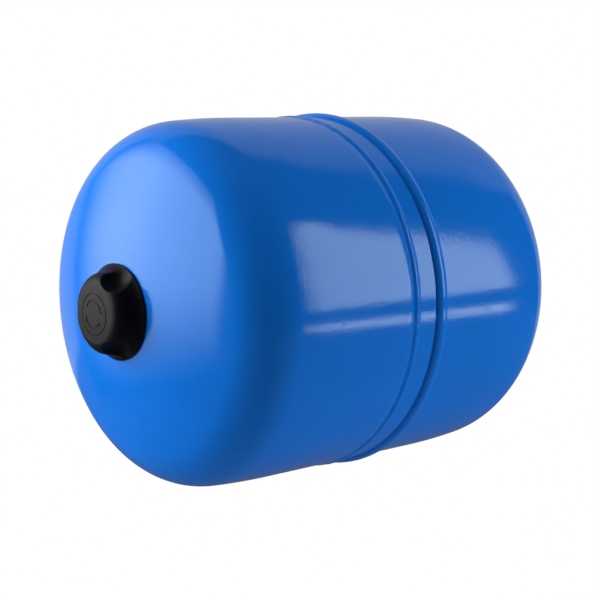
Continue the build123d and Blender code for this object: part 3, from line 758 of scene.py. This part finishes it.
face = np.arange(len(face_rows))
height_grid[face] -= mark_depth(radius_grid[face], angle[None, :] + 0 * radius_grid[face])
in_bore = np.abs(radii - CAP_BOSS_BORE) < 1e-6
boss_rows = np.array([i for i in range(count_out, len(cap_profile)) if in_bore[i] and heights[i] > 5.2])
radius_grid[boss_rows] += 0.6 * thread_wave(
    -height_grid[boss_rows] * MM, -angle[None, :] + 0 * radius_grid[boss_rows], CAP_THREAD_PITCH * MM, 0.2
)

points = np.stack(
    [
        cap_rim_x - height_grid * MM,
        radius_grid * np.cos(angle) * MM,
        radius_grid * np.sin(angle) * MM,
    ],
    axis=-1,
).reshape(-1, 3)
faces = grid_faces(len(cap_profile), CAP_COLUMNS, False)
first, last = len(points), len(points) + 1
tips = np.array([[cap_rim_x - CAP_HEIGHT * MM, 0, 0], [cap_rim_x - CAP_CEILING * MM, 0, 0]])
points = np.vstack([points, tips])
start = (len(cap_profile) - 1) * CAP_COLUMNS
for j in range(CAP_COLUMNS):
    k = (j + 1) % CAP_COLUMNS
    faces.append((first, k, j))
    faces.append((last, start + j, start + k))
cap = make_object("screw_cap_moulding", points, faces, sharp_degrees=50)
cap.data.materials.append(black_plastic)
place(cap, "screw_cap", "black_plastic", "protective_cap")

# ---------------------------------------------------------------- floor, light and camera
scene = bpy.context.scene
scene.view_settings.view_transform = "Standard"

# Middle of the vessel, which the lights face
TARGET = Vector((-0.18, 0, 0))
LIGHT_DISTANCE = 1.6
WALL_DISTANCE = 3
FILL_DISTANCE = 2
# An area lamp's power is its radiance times its area times this
POWER_FACTOR = 4


def stage_card(name, outline):
    """Flat card that isn't part of the object, with its outline in its own XY plane."""
    mesh = bpy.data.meshes.new(name)
    mesh.from_pydata([(x, y, 0) for x, y in outline], [], [tuple(range(len(outline)))])
    card = bpy.data.objects.new(name, mesh)
    scene.collection.objects.link(card)
    return card


def rectangle(width, height):
    """Corners of a rectangle about the origin."""
    return [(x * width / 2, y * height / 2) for x, y in ((-1, -1), (1, -1), (1, 1), (-1, 1))]


def glowing(name, strength=0.0):
    """Material that gives off white light and reflects nothing."""
    material, tree, shader, where = new_material(name)
    shader.inputs["Base Color"].default_value = (0, 0, 0, 1)
    shader.inputs["Specular IOR Level"].default_value = 0
    shader.inputs["Emission Color"].default_value = (1, 1, 1, 1)
    shader.inputs["Emission Strength"].default_value = strength
    return material, tree, shader, where


def aim(light, azimuth, elevation, distance):
    """Put a light in a direction in degrees from the middle of the vessel, facing it."""
    a, e = math.radians(azimuth), math.radians(elevation)
    direction = Vector((math.cos(a) * math.cos(e), math.sin(a) * math.cos(e), math.sin(e)))
    light.location = TARGET + direction * distance
    light.rotation_mode = "QUATERNION"
    light.rotation_quaternion = (-direction).to_track_quat("-Z", "Y")


def softbox_card(name, outline, azimuth, elevation, material):
    """Glowing card that lights the object and shows in its gloss, but not to the camera."""
    card = stage_card(name, outline)
    aim(card, azimuth, elevation, LIGHT_DISTANCE)
    card.visible_camera = False
    card.visible_shadow = False
    card.data.materials.append(material)


def faded_softbox(name, azimuth, elevation, size, radiance):
    """Square softbox that is bright towards its +X edge and fades to its other three sides."""
    material, tree, shader, where = glowing(name)
    parts = tree.nodes.new("ShaderNodeSeparateXYZ")
    tree.links.new(where, parts.inputs["Vector"])
    half = size / 2
    glow = None
    for axis, start, end, low, high in (
        ("X", -half, 0.1 * half, 0.0, radiance),
        ("Y", -half, 0.0, 0.0, 1.0),
        ("Y", 0.3 * half, half, 1.0, 0.3),
    ):
        fade = tree.nodes.new("ShaderNodeMapRange")
        fade.interpolation_type = "SMOOTHSTEP"
        fade.inputs["From Min"].default_value = start
        fade.inputs["From Max"].default_value = end
        fade.inputs["To Min"].default_value = low
        fade.inputs["To Max"].default_value = high
        tree.links.new(parts.outputs[axis], fade.inputs["Value"])
        if glow is None:
            glow = fade.outputs["Result"]
            continue
        product = tree.nodes.new("ShaderNodeMath")
        product.operation = "MULTIPLY"
        tree.links.new(glow, product.inputs[0])
        tree.links.new(fade.outputs["Result"], product.inputs[1])
        glow = product.outputs["Value"]
    tree.links.new(glow, shader.inputs["Emission Strength"])
    softbox_card(name, rectangle(size, size), azimuth, elevation, material)


def arched_softbox(name, azimuth, elevation, width, height, radiance):
    """Softbox with a straight foot and an uneven arch for a top."""
    arch = [(-1, -1), (1, -1), (1, -0.85), (0.9, -0.6), (0.8, -0.13), (0.68, 0.2), (0.45, 0.72)]
    arch += [(0.2, 1.0), (0.0, 1.0), (-0.2, 0.9), (-0.45, 0.7), (-0.7, 0.35), (-1, -0.2)]
    outline = [(x * width / 2, y * height / 2) for x, y in arch]
    softbox_card(name, outline, azimuth, elevation, glowing(name, radiance)[0])


def area_light(name, azimuth, elevation, distance, width, height, radiance):
    """Rectangular lamp facing the vessel."""
    data = bpy.data.lights.new(name, "AREA")
    data.shape = "RECTANGLE"
    data.size, data.size_y = width, height
    data.energy = radiance * POWER_FACTOR * width * height
    light = bpy.data.objects.new(name, data)
    aim(light, azimuth, elevation, distance)
    scene.collection.objects.link(light)
    return light


# The floor is plain white to the camera, and neither lights the object nor takes its shadow
FLOOR_SIZE = 60
FLOOR_GAP = 0.3 * MM
floor = stage_card("floor", rectangle(FLOOR_SIZE, FLOOR_SIZE))
floor.location = (0, 0, cad_low.z - FLOOR_GAP)
floor.visible_diffuse = False
floor.visible_glossy = False
floor.visible_shadow = False
floor.data.materials.append(glowing("white_floor", 1.0)[0])

faded_softbox("left_softbox", 136, 10, 2.32, 5.8)
arched_softbox("right_softbox", -49.8, 19.3, 0.69, 1.27, 5.6)
area_light("low_strip", -50, -11, LIGHT_DISTANCE, 0.68, 0.09, 5.4)
area_light("back_wall", 49, 20, WALL_DISTANCE, 8, 5, 0.35)
area_light("table_bounce", 0, -90, 1.2, 10, 10, 0.06)
# The fills light the paint without showing in its gloss
for fill_name, azimuth, elevation, size, radiance in (
    ("low_fill", -62, -38, 2.2, 0.65),
    ("top_fill", 0, 85, 1.5, 0.9),
    ("under_fill", 0, -85, 1.5, 0.9),
):
    fill = area_light(fill_name, azimuth, elevation, FILL_DISTANCE, size, size, radiance)
    fill.visible_glossy = False

world = bpy.data.worlds.new("studio")
scene.world = world
world.use_nodes = True
tree = world.node_tree
tree.nodes.clear()
output = tree.nodes.new("ShaderNodeOutputWorld")
mix = tree.nodes.new("ShaderNodeMixShader")
path = tree.nodes.new("ShaderNodeLightPath")
room = tree.nodes.new("ShaderNodeBackground")
white = tree.nodes.new("ShaderNodeBackground")
room.inputs["Color"].default_value = (0.03, 0.03, 0.03, 1)
white.inputs["Color"].default_value = (1, 1, 1, 1)
tree.links.new(path.outputs["Is Camera Ray"], mix.inputs["Fac"])
tree.links.new(room.outputs["Background"], mix.inputs[1])
tree.links.new(white.outputs["Background"], mix.inputs[2])
tree.links.new(mix.outputs["Shader"], output.inputs["Surface"])

camera_data = bpy.data.cameras.new("camera")
camera_data.lens = 84.31
camera_data.sensor_width = 36
camera_data.clip_end = 100
camera = bpy.data.objects.new("camera", camera_data)
camera.location = (-0.90760, -0.81812, 0.14295)
camera.rotation_euler = (math.radians(82.166), 0, math.radians(-41.371))
scene.collection.objects.link(camera)
scene.camera = camera

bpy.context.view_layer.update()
